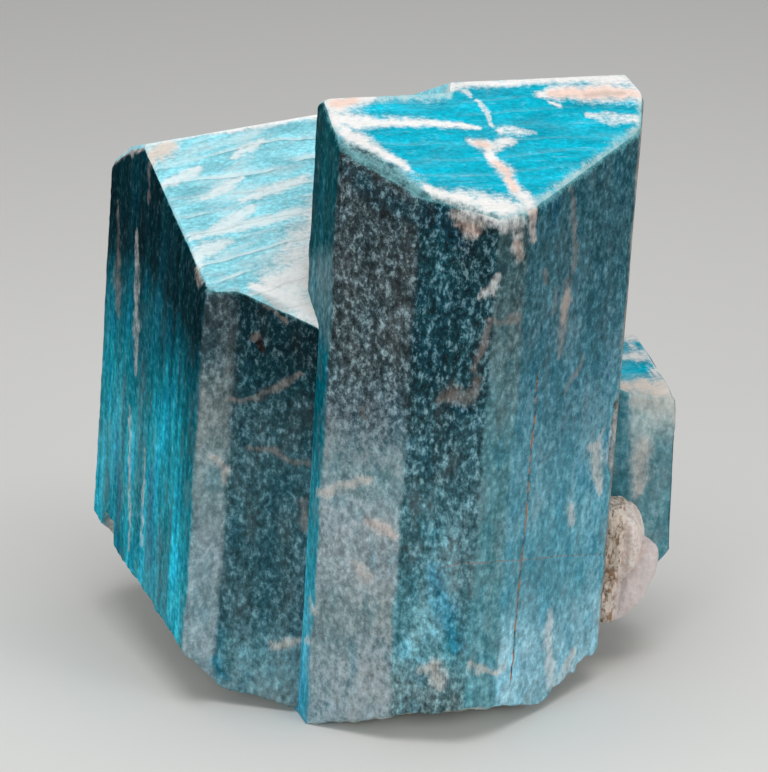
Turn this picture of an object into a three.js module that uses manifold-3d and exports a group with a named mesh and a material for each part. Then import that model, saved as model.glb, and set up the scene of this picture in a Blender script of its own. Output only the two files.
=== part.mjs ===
// Rough amazonite: three prismatic microcline crystals grown through each other, with a lump of
// albite in the corner between the main crystal and the small rear one. Millimetres, +Z up.
// The origin is the middle of the underside of the specimen's box, on the surface that it rests on.
import * as THREE from 'three';
import { mergeVertices } from 'three/addons/utils/BufferGeometryUtils.js';
import Module from 'manifold-3d';

const wasm = await Module();
wasm.setup();

// ---------------------------------------------------------------- driving dimensions

// Every crystal has its own frame: x along its width, y from front to back, z along its length.
// foot: where that frame's origin stands on the ground. yaw: turn about the vertical, in degrees.
// lean: tip of its top towards +X, in degrees.
// outline: its cross-section, anticlockwise seen from above.
// roof: the front roof passes through height at y = 0 and rises towards the back at slope degrees.
// ridges: each rear roof starts at distance y behind the origin, from x = from on, and falls at fall
// degrees; turn is how far it is turned about the vertical.
// bevels: planes through at, climbing by rise per mm along x and y, that cut corners off the roofs.
// rim: the outline's edges whose top is worn, and how deep the sharp edge is cut off.
// breaks: planes of the broken base through at, climbing by rise per mm along x and y. What lies
// below them is broken away.
// notches: steps of cleavage in the broken base, each size [along x, along y, height].
// pits: dimples in the faces. cracks: thin open grooves. tears: bits torn out of an edge.
const MAIN = {
  foot: [-7.6, -15.9],
  yaw: 18,
  lean: 3.34,
  outline: [
    [0, 0], [6.5, -6.25], [13.5, -9.5], [17.1, -8.6], [31.5, 0.35], [33.5, 5.3],
    [33.6, 15], [31, 19.5], [20.5, 25], [13, 24.5], [4.5, 15], [0, 7.7],
  ],
  roof: { height: 62.1, slope: 26 },
  ridges: [{ from: -1, y: 6.0, fall: 24, turn: 0 }, { from: 13.5, y: 7.3, fall: 24, turn: 0 }],
  bevels: [{ at: [32.1, 7.3, 65.66], rise: [-1.2, 0] }],
  rim: { edges: [0, 1, 2, 3, 4], depth: 0.3 },
  breaks: [
    { at: [0, 0, 0], rise: [0, -0.52] },
    { at: [24.9, -3.7, 2.9], rise: [0.33, 0] },
    { at: [31.2, 0, 4.9], rise: [3, 0.1] },
    { at: [14, 19, 0.6], rise: [0.05, 0.4] },
    { at: [27, 18, 2.2], rise: [0.5, 0.45] },
  ],
  notches: [
    { at: [25.5, -5.6], size: [1.2, 6, 3.4] },
    { at: [29.6, -2], size: [2.2, 4, 5] },
    { at: [17, 25.5], size: [6, 4, 6] },
    { at: [33, 12], size: [5, 7, 9.5] },
  ],
  pits: [
    { at: [3, -2.9, 35.6], radius: 0.6 },
    { at: [4.9, -4.7, 7.3], radius: 0.7 },
    { at: [10.9, -8.4, 39.2], radius: 1.1 },
  ],
  cracks: [
    { from: [19.5, -7.1, 39.6], to: [19.1, -7.35, 6.7], width: 0.45 },
    { from: [10.8, -8.3, 20.4], to: [17.1, -8.6, 20.8], width: 0.3 },
  ],
  tears: [{ at: [31.6, 0.3, 30.2], size: [0.9, 1.6, 6], turn: 32 }],
};
const LEFT = {
  foot: [-20.75, -11.7],
  yaw: 24.5,
  lean: 4.1,
  outline: [
    [0, 0], [0.9, -0.7], [3.3, -0.95], [9.9, -6.2], [16, -8], [21.5, 0],
    [21.8, 22], [18, 27.5], [10, 31], [3, 29.5], [0, 25.9],
  ],
  roof: { height: 46.3, slope: 26 },
  ridges: [{ from: -1, y: 17.7, fall: 23, turn: 12.8 }],
  bevels: [{ at: [0, 21.7, 53.1], rise: [0.6, -0.7] }],
  rim: { edges: [], depth: 0 },
  breaks: [
    { at: [10.5, -6.7, 1.2], rise: [-0.16, 0.06] },
    { at: [3.9, -1.4, 2.2], rise: [-1, 0.17] },
    { at: [10, 24, 4.5], rise: [-0.2, 0.6] },
    { at: [19, 20, 3], rise: [0.5, 0.3] },
  ],
  notches: [{ at: [0, 21.5], size: [3, 3.4, 12] }],
  pits: [{ at: [5.1, -2.4, 40.5], radius: 0.8 }],
  cracks: [],
  tears: [],
};
const REAR = {
  foot: [30.2, 3.4],
  yaw: 28.5,
  lean: 1,
  outline: [
    [-16, 9], [-9, 5], [-4.6, 1.6], [0, 0], [0.3, 4], [0.1, 15],
    [-2.5, 19], [-10, 21.5], [-16, 19.5],
  ],
  roof: { height: 28.1, slope: 26 },
  ridges: [{ from: -20, y: 8.4, fall: 26, turn: 0 }],
  bevels: [],
  rim: { edges: [1, 2], depth: 0.35 },
  breaks: [
    { at: [0, 0, 11.1], rise: [1.5, 0.15] },
    { at: [-4, 3, 6.5], rise: [0.35, 0.3] },
    { at: [-5, 16, 9], rise: [0.1, 0.8] },
  ],
  notches: [],
  pits: [],
  cracks: [],
  tears: [{ at: [0.1, 0, 19.6], size: [0.5, 0.9, 2], turn: 20 }],
};

const STUB = 4; // how far a crystal is drawn below the ground before its base is broken off
const DEEPEST = 32; // no outline reaches further back than this
const BLOCK = 160; // edge of the blocks that cut the faces
const GROWTH_STEP = 0.12; // depth of the fine steps that run along the prism faces
const GROWTH_PITCH = 2.2; // their mean width
const GROWTH_SWAY = 0.28; // how far a step strays from its even place, as a share of the pitch
const LUMP_GAP = 0.3; // room between the albite and the crystals

// The albite lump: slabs with flat fronts, their middles on the ground frame, each [radius x, y, z],
// how far each leans towards +X per mm of height, and its turn about the vertical in degrees.
const LUMP_MASSES = [
  { at: [24.5, 1.4, 11.6], radii: [3.0, 3.0, 5.5], lean: 0, turn: -8 },
  { at: [26.0, 0.6, 9.2], radii: [1.8, 2.8, 3.7], lean: 0.45, turn: 16 },
  { at: [23.9, 0.4, 7.4], radii: [2.4, 2.8, 2.4], lean: 0.1, turn: 5 },
];
const LUMP_DETAIL = 7; // subdivisions of each mass
const LUMP_ROUND = 2.5; // power of the curve that a slab follows seen from the front
const LUMP_FLAT = 5; // power of the curve that it follows from the front to the back
// Its upright folds and its knobs: waves per radian along x, y and z, and their depth.
const LUMP_WAVES = [
  { waves: [4.3, 3.1, 1.3], depth: 0.22 },
  { waves: [11, 9, 8], depth: 0.12 },
];

const COLOURS = {
  amazonite: { color: 0x2f8f98, roughness: 0.45, metalness: 0 },
  albite: { color: 0xd8c4b6, roughness: 0.7, metalness: 0 },
};

// ---------------------------------------------------------------- solids

const vector = (values) => new THREE.Vector3(...values);

/** A closed three.js geometry as a solid that can be joined and cut. */
function solidOf(geometry) {
  const bare = geometry.clone();
  bare.deleteAttribute('normal');
  bare.deleteAttribute('uv');
  const merged = mergeVertices(bare, 1e-5);
  return new wasm.Manifold(new wasm.Mesh({
    numProp: 3,
    vertProperties: new Float32Array(merged.attributes.position.array),
    triVerts: new Uint32Array(merged.index.array),
  }));
}

/** A solid as a three.js geometry. */
function geometryOf(solid) {
  const mesh = solid.getMesh();
  const geometry = new THREE.BufferGeometry();
  geometry.setAttribute('position', new THREE.BufferAttribute(mesh.vertProperties, 3));
  geometry.setIndex(new THREE.BufferAttribute(mesh.triVerts, 1));
  return geometry;
}

/** What is left of a solid behind the plane through point that faces along normal. */
function slice(solid, point, normal) {
  const block = new THREE.BoxGeometry(BLOCK, BLOCK, BLOCK);
  block.translate(0, 0, BLOCK / 2);
  const turn = new THREE.Quaternion().setFromUnitVectors(vector([0, 0, 1]), normal);
  block.applyQuaternion(turn);
  block.translate(point.x, point.y, point.z);
  return solid.subtract(solidOf(block));
}

/** A block of the given size, turned about z and centred on a point. */
function blockAt(at, size, turn = 0) {
  const block = new THREE.BoxGeometry(...size);
  block.rotateZ(THREE.MathUtils.degToRad(turn));
  block.translate(...at);
  return solidOf(block);
}

// ---------------------------------------------------------------- crystal form

/** Unit normal, facing out, of the outline's edge that starts at corner i. */
function edgeNormal(outline, i) {
  const [ax, ay] = outline[i];
  const [bx, by] = outline[(i + 1) % outline.length];
  return vector([by - ay, ax - bx, 0]).normalize();
}

/** The outline moved outwards by skin, each corner to where its two moved edges meet. */
function grown(outline, skin) {
  return outline.map(([x, y], i) => {
    const before = edgeNormal(outline, (i + outline.length - 1) % outline.length);
    const after = edgeNormal(outline, i);
    const reach = skin / (1 + before.dot(after));
    return [x + (before.x + after.x) * reach, y + (before.y + after.y) * reach];
  });
}

/** The outline with fine growth steps: each edge alternates between its own line and one a
    GROWTH_STEP further in, in strips whose widths vary as a sine. */
function stepped(outline) {
  const points = [];
  outline.forEach(([x, y], i) => {
    const [ex, ey] = outline[(i + 1) % outline.length];
    const normal = edgeNormal(outline, i);
    const length = Math.hypot(ex - x, ey - y);
    const strips = 2 * Math.round(length / GROWTH_PITCH / 2) + 1;
    points.push([x, y]);
    for (let k = 1; k < strips; k += 1) {
      const share = (k + GROWTH_SWAY * Math.sin(5.1 * k + 2.3 * i)) / strips;
      const [px, py] = [x + (ex - x) * share, y + (ey - y) * share];
      const [outer, inner] = k % 2 ? [0, GROWTH_STEP] : [GROWTH_STEP, 0];
      points.push([px - normal.x * outer, py - normal.y * outer]);
      points.push([px - normal.x * inner, py - normal.y * inner]);
    }
  });
  return points;
}

/** Height of the front roof at distance y behind the crystal's origin. */
function roofHeight(roof, y) {
  return roof.height + y * Math.tan(THREE.MathUtils.degToRad(roof.slope));
}

/** Upward normal of a roof that rises towards the back at slope degrees, turned about z. */
function roofNormal(slope, turn = 0) {
  const angle = THREE.MathUtils.degToRad(slope);
  const normal = vector([0, -Math.sin(angle), Math.cos(angle)]);
  return normal.applyAxisAngle(vector([0, 0, 1]), THREE.MathUtils.degToRad(turn));
}

/** The prism with its two roofs, one piece for each stretch of ridge. */
function roofedPrism(form, skin) {
  const outline = skin ? grown(form.outline, skin) : stepped(form.outline);
  const shape = new THREE.Shape(outline.map(([x, y]) => new THREE.Vector2(x, y)));
  const height = roofHeight(form.roof, DEEPEST) + STUB;
  const prism = new THREE.ExtrudeGeometry(shape, { depth: height, bevelEnabled: false });
  prism.translate(0, 0, -STUB);
  const front = vector([0, 0, form.roof.height + skin]);
  const body = slice(solidOf(prism), front, roofNormal(form.roof.slope));
  return form.ridges.reduce((whole, ridge) => {
    const top = vector([0, ridge.y, roofHeight(form.roof, ridge.y) + skin]);
    let stretch = slice(body, top, roofNormal(-ridge.fall, ridge.turn));
    stretch = slice(stretch, vector([ridge.from, 0, 0]), vector([-1, 0, 0]));
    return whole ? whole.add(stretch) : stretch;
  }, null);
}

/** The worn rim between the front roof and the faces below it: each sharp edge cut off by depth. */
function wornRim(solid, form) {
  return form.rim.edges.reduce((left, i) => {
    const [x, y] = form.outline[i];
    const facing = edgeNormal(form.outline, i).add(roofNormal(form.roof.slope)).normalize();
    const edge = vector([x, y, roofHeight(form.roof, y)]);
    return slice(left, edge.addScaledVector(facing, -form.rim.depth), facing);
  }, solid);
}

/** The solid below each bevel. */
function bevelled(solid, form, skin) {
  return form.bevels.reduce((left, { at, rise }) => {
    const normal = vector([-rise[0], -rise[1], 1]).normalize();
    return slice(left, vector(at).addScaledVector(normal, skin), normal);
  }, solid);
}

/** The solid above each break of the base. */
function brokenBase(solid, form, skin) {
  return form.breaks.reduce((left, { at, rise }) => {
    const normal = vector([rise[0], rise[1], -1]).normalize();
    return slice(left, vector(at).addScaledVector(normal, skin), normal);
  }, solid);
}

/** Turns and moves a solid from its crystal's own frame to the ground frame. */
function stood(solid, form) {
  const lean = new THREE.Matrix4().makeRotationY(THREE.MathUtils.degToRad(form.lean));
  const yaw = new THREE.Matrix4().makeRotationZ(THREE.MathUtils.degToRad(form.yaw));
  const place = new THREE.Matrix4().makeTranslation(form.foot[0], form.foot[1], 0);
  const geometry = geometryOf(solid);
  geometry.applyMatrix4(place.multiply(lean).multiply(yaw));
  return solidOf(geometry);
}

// ---------------------------------------------------------------- marks on the faces

/** A dimple: a low-sided ball half sunk in a face. */
function pit({ at, radius }) {
  const ball = new THREE.IcosahedronGeometry(radius, 1);
  ball.scale(1, 0.8, 1.35);
  ball.translate(...at);
  return solidOf(ball);
}

/** A crack: a long thin square bar, turned on its edge, sunk to half its depth in a face. */
function crack({ from, to, width }) {
  const along = vector(to).sub(vector(from));
  const bar = new THREE.BoxGeometry(width, width, along.length());
  bar.rotateZ(Math.PI / 4);
  const direction = along.clone().normalize();
  bar.applyQuaternion(new THREE.Quaternion().setFromUnitVectors(vector([0, 0, 1]), direction));
  const middle = vector(from).addScaledVector(along, 0.5);
  bar.translate(middle.x, middle.y, middle.z);
  return solidOf(bar);
}

/** A notch in the base, from below the ground up to its height. */
function notch({ at, size }) {
  const [wide, deep, high] = size;
  return blockAt([at[0], at[1], (high - STUB) / 2], [wide, deep, high + STUB]);
}

/** A piece torn out of an edge: a block turned about the crystal's length. */
function tear({ at, size, turn }) {
  return blockAt(at, size, turn);
}

/** Everything that is worn, broken or torn out of a crystal. */
function marksOf({ pits, cracks, notches, tears }) {
  return [...pits.map(pit), ...cracks.map(crack), ...notches.map(notch), ...tears.map(tear)];
}

/** One crystal in the ground frame. */
function crystal(form) {
  const roofed = wornRim(bevelled(roofedPrism(form, 0), form, 0), form);
  const bare = brokenBase(roofed, form, 0);
  return stood(marksOf(form).reduce((left, mark) => left.subtract(mark), bare), form);
}

/** A crystal's plain form, larger all round by the gap that another mineral keeps to it. */
function clearanceOf(form) {
  const roofed = bevelled(roofedPrism(form, LUMP_GAP), form, LUMP_GAP);
  return stood(brokenBase(roofed, form, LUMP_GAP), form);
}

/** The three crystals, joined where they grew through each other, on their flat resting spot. */
function crystals() {
  const joined = [MAIN, LEFT, REAR].map(crystal).reduce((whole, next) => whole.add(next));
  return slice(joined, vector([0, 0, 0]), vector([0, 0, -1]));
}

// ---------------------------------------------------------------- albite lump

/** Height of a mass's folds and knobs in the direction p: a product of sines for each of the two. */
function knobs(p, index) {
  return LUMP_WAVES.reduce((sum, { waves, depth }, k) => {
    const [wx, wy, wz] = waves;
    const wave = Math.sin(wx * p.x + 1.7 * index) * Math.sin(wy * p.y + 2 - k) * Math.sin(wz * p.z + 2 * k);
    return sum + depth * wave;
  }, 0);
}

/** How far a slab of unit radii reaches in the direction p. */
function slabReach(p) {
  const plan = Math.abs(p.x) ** LUMP_ROUND + Math.abs(p.z) ** LUMP_ROUND;
  const powers = plan ** (LUMP_FLAT / LUMP_ROUND) + Math.abs(p.y) ** LUMP_FLAT;
  return powers ** (-1 / LUMP_FLAT);
}

/** A slab whose radii swell and sink with its folds and knobs, leaning towards +X and turned. */
function mass({ at, radii, lean, turn }, index) {
  const ball = new THREE.IcosahedronGeometry(1, LUMP_DETAIL);
  const positions = ball.attributes.position;
  for (let i = 0; i < positions.count; i += 1) {
    const p = new THREE.Vector3().fromBufferAttribute(positions, i);
    const swollen = vector(radii).addScalar(knobs(p, index));
    p.multiplyScalar(slabReach(p)).multiply(swollen);
    p.x += lean * p.z;
    p.applyAxisAngle(vector([0, 0, 1]), THREE.MathUtils.degToRad(turn)).add(vector(at));
    positions.setXYZ(i, p.x, p.y, p.z);
  }
  return solidOf(ball);
}

/** The lump, cut clear of the crystals that it grew against. */
function lump() {
  const whole = LUMP_MASSES.map(mass).reduce((joined, next) => joined.add(next));
  return [MAIN, REAR].map(clearanceOf).reduce((left, form) => left.subtract(form), whole);
}

// ---------------------------------------------------------------- the part

/** One named piece of the specimen with its own finish. */
function piece(name, solid, finish) {
  const mesh = new THREE.Mesh(geometryOf(solid), new THREE.MeshStandardMaterial(finish));
  mesh.name = name;
  return mesh;
}

const specimen = new THREE.Group();
specimen.add(piece('amazonite_crystals', crystals(), COLOURS.amazonite));
specimen.add(piece('albite_lump', lump(), COLOURS.albite));

export default specimen;
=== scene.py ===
"""A rough amazonite specimen: three blocky crystals grown through each other and a lump of albite.

Every crystal is worked out in its own frame, in millimetres: x along its width, y from front to
back, z along its length. It is one closed surface, a grid of columns round its outline and of rows
from the middle of its broken base, up its prism faces and over its rim to a point on its ridge.
"""

import math

import bpy
import numpy as np
from mathutils import Matrix, Vector


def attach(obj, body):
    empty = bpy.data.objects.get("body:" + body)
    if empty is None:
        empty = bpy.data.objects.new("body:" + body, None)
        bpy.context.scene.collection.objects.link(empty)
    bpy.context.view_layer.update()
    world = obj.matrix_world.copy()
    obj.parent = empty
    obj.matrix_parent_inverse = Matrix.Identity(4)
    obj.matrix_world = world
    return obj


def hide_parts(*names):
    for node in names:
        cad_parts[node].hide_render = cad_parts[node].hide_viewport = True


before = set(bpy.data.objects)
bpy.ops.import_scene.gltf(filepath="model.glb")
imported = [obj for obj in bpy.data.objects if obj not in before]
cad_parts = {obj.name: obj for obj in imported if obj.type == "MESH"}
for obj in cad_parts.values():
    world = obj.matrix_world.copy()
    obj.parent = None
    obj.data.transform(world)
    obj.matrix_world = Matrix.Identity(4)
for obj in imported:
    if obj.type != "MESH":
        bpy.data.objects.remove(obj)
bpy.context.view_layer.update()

MM = 0.001

# ---------------------------------------------------------------- camera and light

CAMERA_TARGET = (0.35, -10.62, 35.0)  # mm
CAMERA_DISTANCE = 440.0  # mm
CAMERA_ELEVATION = 22.0  # degrees above the horizon, looking along +Y
LENS = 206.25  # mm, on a sensor 36 mm wide
SENSOR = 36.0

# name: (place in mm, width in mm, watts); each softbox faces the middle of the specimen
SOFTBOXES = {
    "overhead_softbox": ((10, -40, 330), 250, 0.66),
    "front_softbox": ((-250, -330, 150), 240, 0.40),
    "right_softbox": ((330, -180, 130), 200, 0.32),
}
SOFTBOX_AIM = (0, 0, 28)
ROOM_LIGHT = 0.31
FLOOR_SIZE = 4000.0  # mm

# ---------------------------------------------------------------- colours of the stone

TONES = {
    # the roofs, and what is drawn on the stone
    "turquoise": "00aac3", "ice": "8fd9e6", "frost": "e4f3f5", "white": "ece9e6", "chalk": "fbfaf8",
    "cream": "e6dacf", "pink": "efd1c3", "tan": "958a82", "rust": "3c2a26", "ochre": "b4764c",
    "gloom": "2c4a4c", "deep filter": "38d8f0", "dust": "cbb9b3", "rim": "afd0d3", "veil": "6fb0b6",
    # the tone of the painted glints on the flecks
    "painted glint": "bcd0d4", "broken": "b9bfba",
    # the tones of the walls: their change from pale at the foot to dark at the top is partly painted light
    # and shade
    # the left front walls, grey from pale to dark
    "haze": "8eabb4", "pale haze": "a4b8bf", "mist": "839da2", "fog": "729da6", "pewter": "6b8386",
    "smoke": "56747f", "dusk": "43595f", "char": "3b4e54",
    # the teal front walls
    "worn teal": "6c9096", "sea": "5a9aa7", "lagoon": "4b828e", "reef": "38636d", "cove": "294e57",
    "abyss": "0f404a",
    # the green-grey narrow wall and the blue right wall
    "shoal": "5796a2", "moss": "598087", "lichen": "415f64", "sky": "95cbdc", "rain": "63a6b8",
    "slate": "4d8798", "storm": "2b5d69",
    # the side walls
    "bright teal": "4cb3cf", "pool": "38a9be", "side teal": "047688", "grey teal": "51808a",
    "dark teal": "10525b", "shallow": "279fb2", "flank": "158b9c", "shade teal": "0a6d7e",
    "night": "033039", "stone": "8f918c",
    # the albite lump: its folds, blush and the painted shade of its lower slabs, and its rind with its clefts
    "fold shade": "e0cdc4", "fold white": "fbf3ee", "blush": "e6c9b8", "painted slab shade": "dccfcf",
    "rind": "fbead8", "cleft": "b07a44",
    # the stage
    "floor paper": "e4e3e0", "room": "f4f5f7",
}

# ---------------------------------------------------------------- the crystals
#
# foot, yaw, lean: where a crystal's frame stands on the ground, its turn about the vertical and the
# tip of its top towards +X, in degrees.
# outline: its cross-section, anticlockwise seen from above; its walls are numbered from corner 0.
# height, slope: the front roof passes through height at y = 0 and rises towards the back.
# ridge: the ridge seen from above; the rear roof falls back from it at fall degrees. pole: x of the
# point on the ridge where the rows of the grid close. bevels: planes (at, rise along x and y) that
# cut corners off the roofs.
# breaks: planes (at, rise along x and y) of the broken base. notches: steps in it (at, size, height).
# seen: walls with the fine columns. walls: for each wall its tones from the ground up as
# (height, tone), which hold painted light and shade, mostly paler at the foot and darker towards the
# top; its shares of flecks, raised in the relief and painted as glints, and of upright grain; its veil,
# the milky zone under the rim, in mm; and its share of cream clouds. roof: the tone of the front roof.
# rim: the share and the widths of the pale band inside the roof's edges, left and right of its pole.
# ledges: the turn about z, the pitch and the height of the ledges along the roof, and the share of
# their edges painted with a highlight above and a shadow below. wisps: the turn, the share and the tone of
# the pale wisps in it.
# spill: a path along the rim of the front roof, as for strokes, where the wall's finish runs on over
# the rim.
# strokes: what is drawn on the roof and on the walls, as (ink, path) or (ink, path, depth sunk into
# the stone). A path is a list of (along, up, half width): along the outline from corner 0 and up the
# crystal on a wall, and x and y on a roof. cracks: paths of hairline cracks on the walls.

# drawn on the main crystal: white bands and lenses on its roof and the vein that crosses it, and the
# stains and lenses of its walls, from the left to the right
MAIN_ROOF = [
    ("white", [(0.8, 3.6, 1.3), (2.4, 2.9, 0.9), (5, 2.8, 0.55), (9, 2.5, 0.45), (13, 2, 0.4),
               (14.9, 1.5, 0.15)]),
    ("white", [(0.2, 5.6, 1.1), (2.9, 5.5, 1.1), (5.4, 6.1, 0.3)]),
    ("pink", [(1.2, 5.4, 0.5), (3.2, 5.5, 0.5)]),
    ("white", [(0.9, 2.5, 0.7), (1.4, 1.4, 0.9), (2.8, 0.2, 0.8), (4.4, -1.1, 0.6), (6, -3, 0.4)]),
    ("faint", [(16.8, 1.2, 0.3), (18.4, 0.9, 0.6), (20.2, 0.7, 0.3)]),
    ("faint", [(26.5, 2.4, 0.3), (28.7, 1.9, 0.6), (31.2, 1.8, 0.5)]),
    ("white", [(23, 4.3, 0.2), (23.8, 3.9, 0.3)]),
    ("white", [(22.3, 5.3, 0.4), (25, 5.4, 0.9), (29, 5.2, 1.15), (33.2, 4.9, 1.1)]),
    ("pink", [(23.5, 5.4, 0.4), (26, 5.3, 0.8), (29.5, 5, 0.9), (32.2, 4.8, 0.6)]),
    ("tan", [(27, 5.1, 0.2), (29.5, 5, 0.35), (31.4, 4.9, 0.2)]),
    ("faint", [(13.8, 7, 0.6), (14.6, 6.7, 0.5), (15.2, 5.6, 0.25)]),
    ("faint", [(15.7, 4.9, 0.2), (16.1, 3.9, 0.35), (16.3, 2.9, 0.25), (16.4, 1.6, 0.15)], 0.03),
    ("white", [(13.2, 0, 0.4), (14.5, -0.5, 0.75), (15.6, -0.8, 0.55), (17.2, -0.2, 0.6)]),
    ("pink", [(14, -0.2, 0.5), (14.9, -0.9, 0.5)]),
    ("white", [(15, -1.4, 0.45), (15.3, -2.9, 0.55), (15.8, -4, 0.65), (15.9, -5.2, 0.6),
               (16.3, -6.7, 0.65), (17, -7.9, 0.7)], 0.05),
    ("pink", [(15.4, -3, 0.4), (15.9, -4.4, 0.5), (16.1, -6.2, 0.4)]),
    ("white", [(7.4, -5.6, 0.5), (9.2, -6.7, 0.8), (11.6, -7.2, 1.2), (13.6, -8, 1.2), (15.4, -8.4, 0.6)]),
    ("white", [(14, 7, 0.5), (24, 7.1, 0.5), (33, 7, 0.6)]),
]
MAIN_WALLS = [
    ("deep", [(0.8, 59.9, 1.3), (3.6, 58.6, 1.7), (6.8, 57.4, 1.5), (8.6, 56.8, 1.1)]),
    ("deep", [(9.2, 57.6, 1.5), (11, 56.8, 1.6), (13.4, 54.6, 1.1)]),
    ("cream", [(12.6, 57.3, 0.7), (13.8, 56.9, 0.9), (15, 56.8, 0.7)]),
    ("pink", [(12.6, 56.6, 0.3), (13.8, 56.2, 0.6), (14.8, 56, 0.4)]),
    ("white", [(13.4, 57.9, 0.5), (15.6, 57.2, 0.7), (18.4, 57, 1)]),
    ("tan", [(4.05, 36.1, 0.25), (4.15, 35, 0.35), (4.3, 34.4, 0.2)], 0.35),
    ("cream", [(-0.9, 24.9, 0.35), (0.6, 25.6, 0.35), (2.4, 27, 0.5), (5.2, 28.4, 0.5)]),
    ("cream", [(-0.9, 13.2, 0.5), (-0.1, 12.6, 0.5)]),
    ("cream", [(-1.8, 8.2, 0.3), (-0.4, 9.2, 0.5)]),
    ("pink", [(5.6, 24.3, 0.5), (7, 23.6, 0.9), (8.2, 23, 0.5)]),
    ("cream", [(4.4, 19.2, 0.5), (5.6, 17.8, 0.8)]),
    ("tan", [(6.5, 7.6, 0.3), (7.1, 7.2, 0.3)], 0.25),
    ("tan", [(12.2, 38.2, 0.5), (13.6, 38.9, 1), (15.2, 38.8, 0.8), (15.6, 40.6, 0.5)], 0.12),
    ("white", [(15.6, 49.5, 0.4), (16.3, 50.1, 0.5), (17, 51.5, 0.3)]),
    ("tan", [(15.2, 41.4, 0.3), (16, 44.3, 0.4), (16.6, 47, 0.4), (19.4, 46.6, 0.7)]),
    ("deep", [(12.6, 37.3, 0.5), (15, 37.4, 0.8)]),
    ("deep", [(12.6, 19.6, 1), (14, 15.8, 1.7), (15.6, 11.6, 0.9)]),
    ("cream", [(12.2, 8.6, 0.6), (13.5, 9.4, 0.8), (14, 7.6, 0.7)], 0.05),
    ("cream", [(17.2, 9.9, 0.6), (19.6, 8.3, 0.3), (21.2, 8.6, 0.5)]),
    ("white", [(19, 55.6, 0.5), (18.9, 53.6, 0.5)]),
    ("pink", [(19.1, 54.6, 0.4), (19.3, 53, 0.5)]),
    ("pink", [(20.6, 58.2, 0.45), (20.8, 56.2, 0.5), (20.9, 54.6, 0.3)]),
    ("deep", [(22, 57.6, 0.7), (24.5, 57.9, 0.9), (23.4, 54.5, 0.6)]),
    ("tan", [(26.6, 58.8, 0.35), (27.5, 54.4, 0.5), (28, 50.4, 0.45), (27.6, 49.3, 0.25)]),
    ("tan", [(27.3, 48.8, 0.6), (27, 46.8, 1), (26.8, 42.6, 0.8), (26.7, 41, 0.4)]),
    ("pink", [(27.2, 47.6, 0.4), (27, 46.4, 0.6), (26.9, 44.6, 0.4)]),
    ("tan", [(23.2, 50.8, 0.35), (23.5, 49.6, 0.4)]),
    ("tan", [(25.3, 48.6, 0.2), (25.1, 46, 0.3)]),
    ("tan", [(30.9, 40.2, 0.2), (29.6, 38.2, 0.3), (28, 36.8, 0.3)]),
    ("cream", [(33, 29.8, 0.3), (34, 29, 0.8), (34.8, 26.6, 0.9), (35.5, 23.6, 0.35)], 0.08),
    ("cream", [(35.3, 30.9, 0.3), (34.2, 29.4, 0.4)], 0.05),
    ("white", [(37.2, 33.4, 0.3), (37.1, 30.6, 0.6), (36.9, 27.4, 0.8), (37.2, 25.6, 0.3)], 0.5),
    ("white", [(28.6, 12.9, 0.4), (28.5, 10, 0.7), (28.9, 7.2, 0.5), (29.8, 4.2, 1)]),
    ("cream", [(33, 6.4, 0.6), (32, 4.6, 0.8)]),
    ("cream", [(30.5, 23.2, 0.6), (31, 22, 0.5)]),
    ("tan", [(23.1, 21.4, 0.25), (22.9, 17.6, 0.35), (22.7, 14.6, 0.3)]),
]
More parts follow.
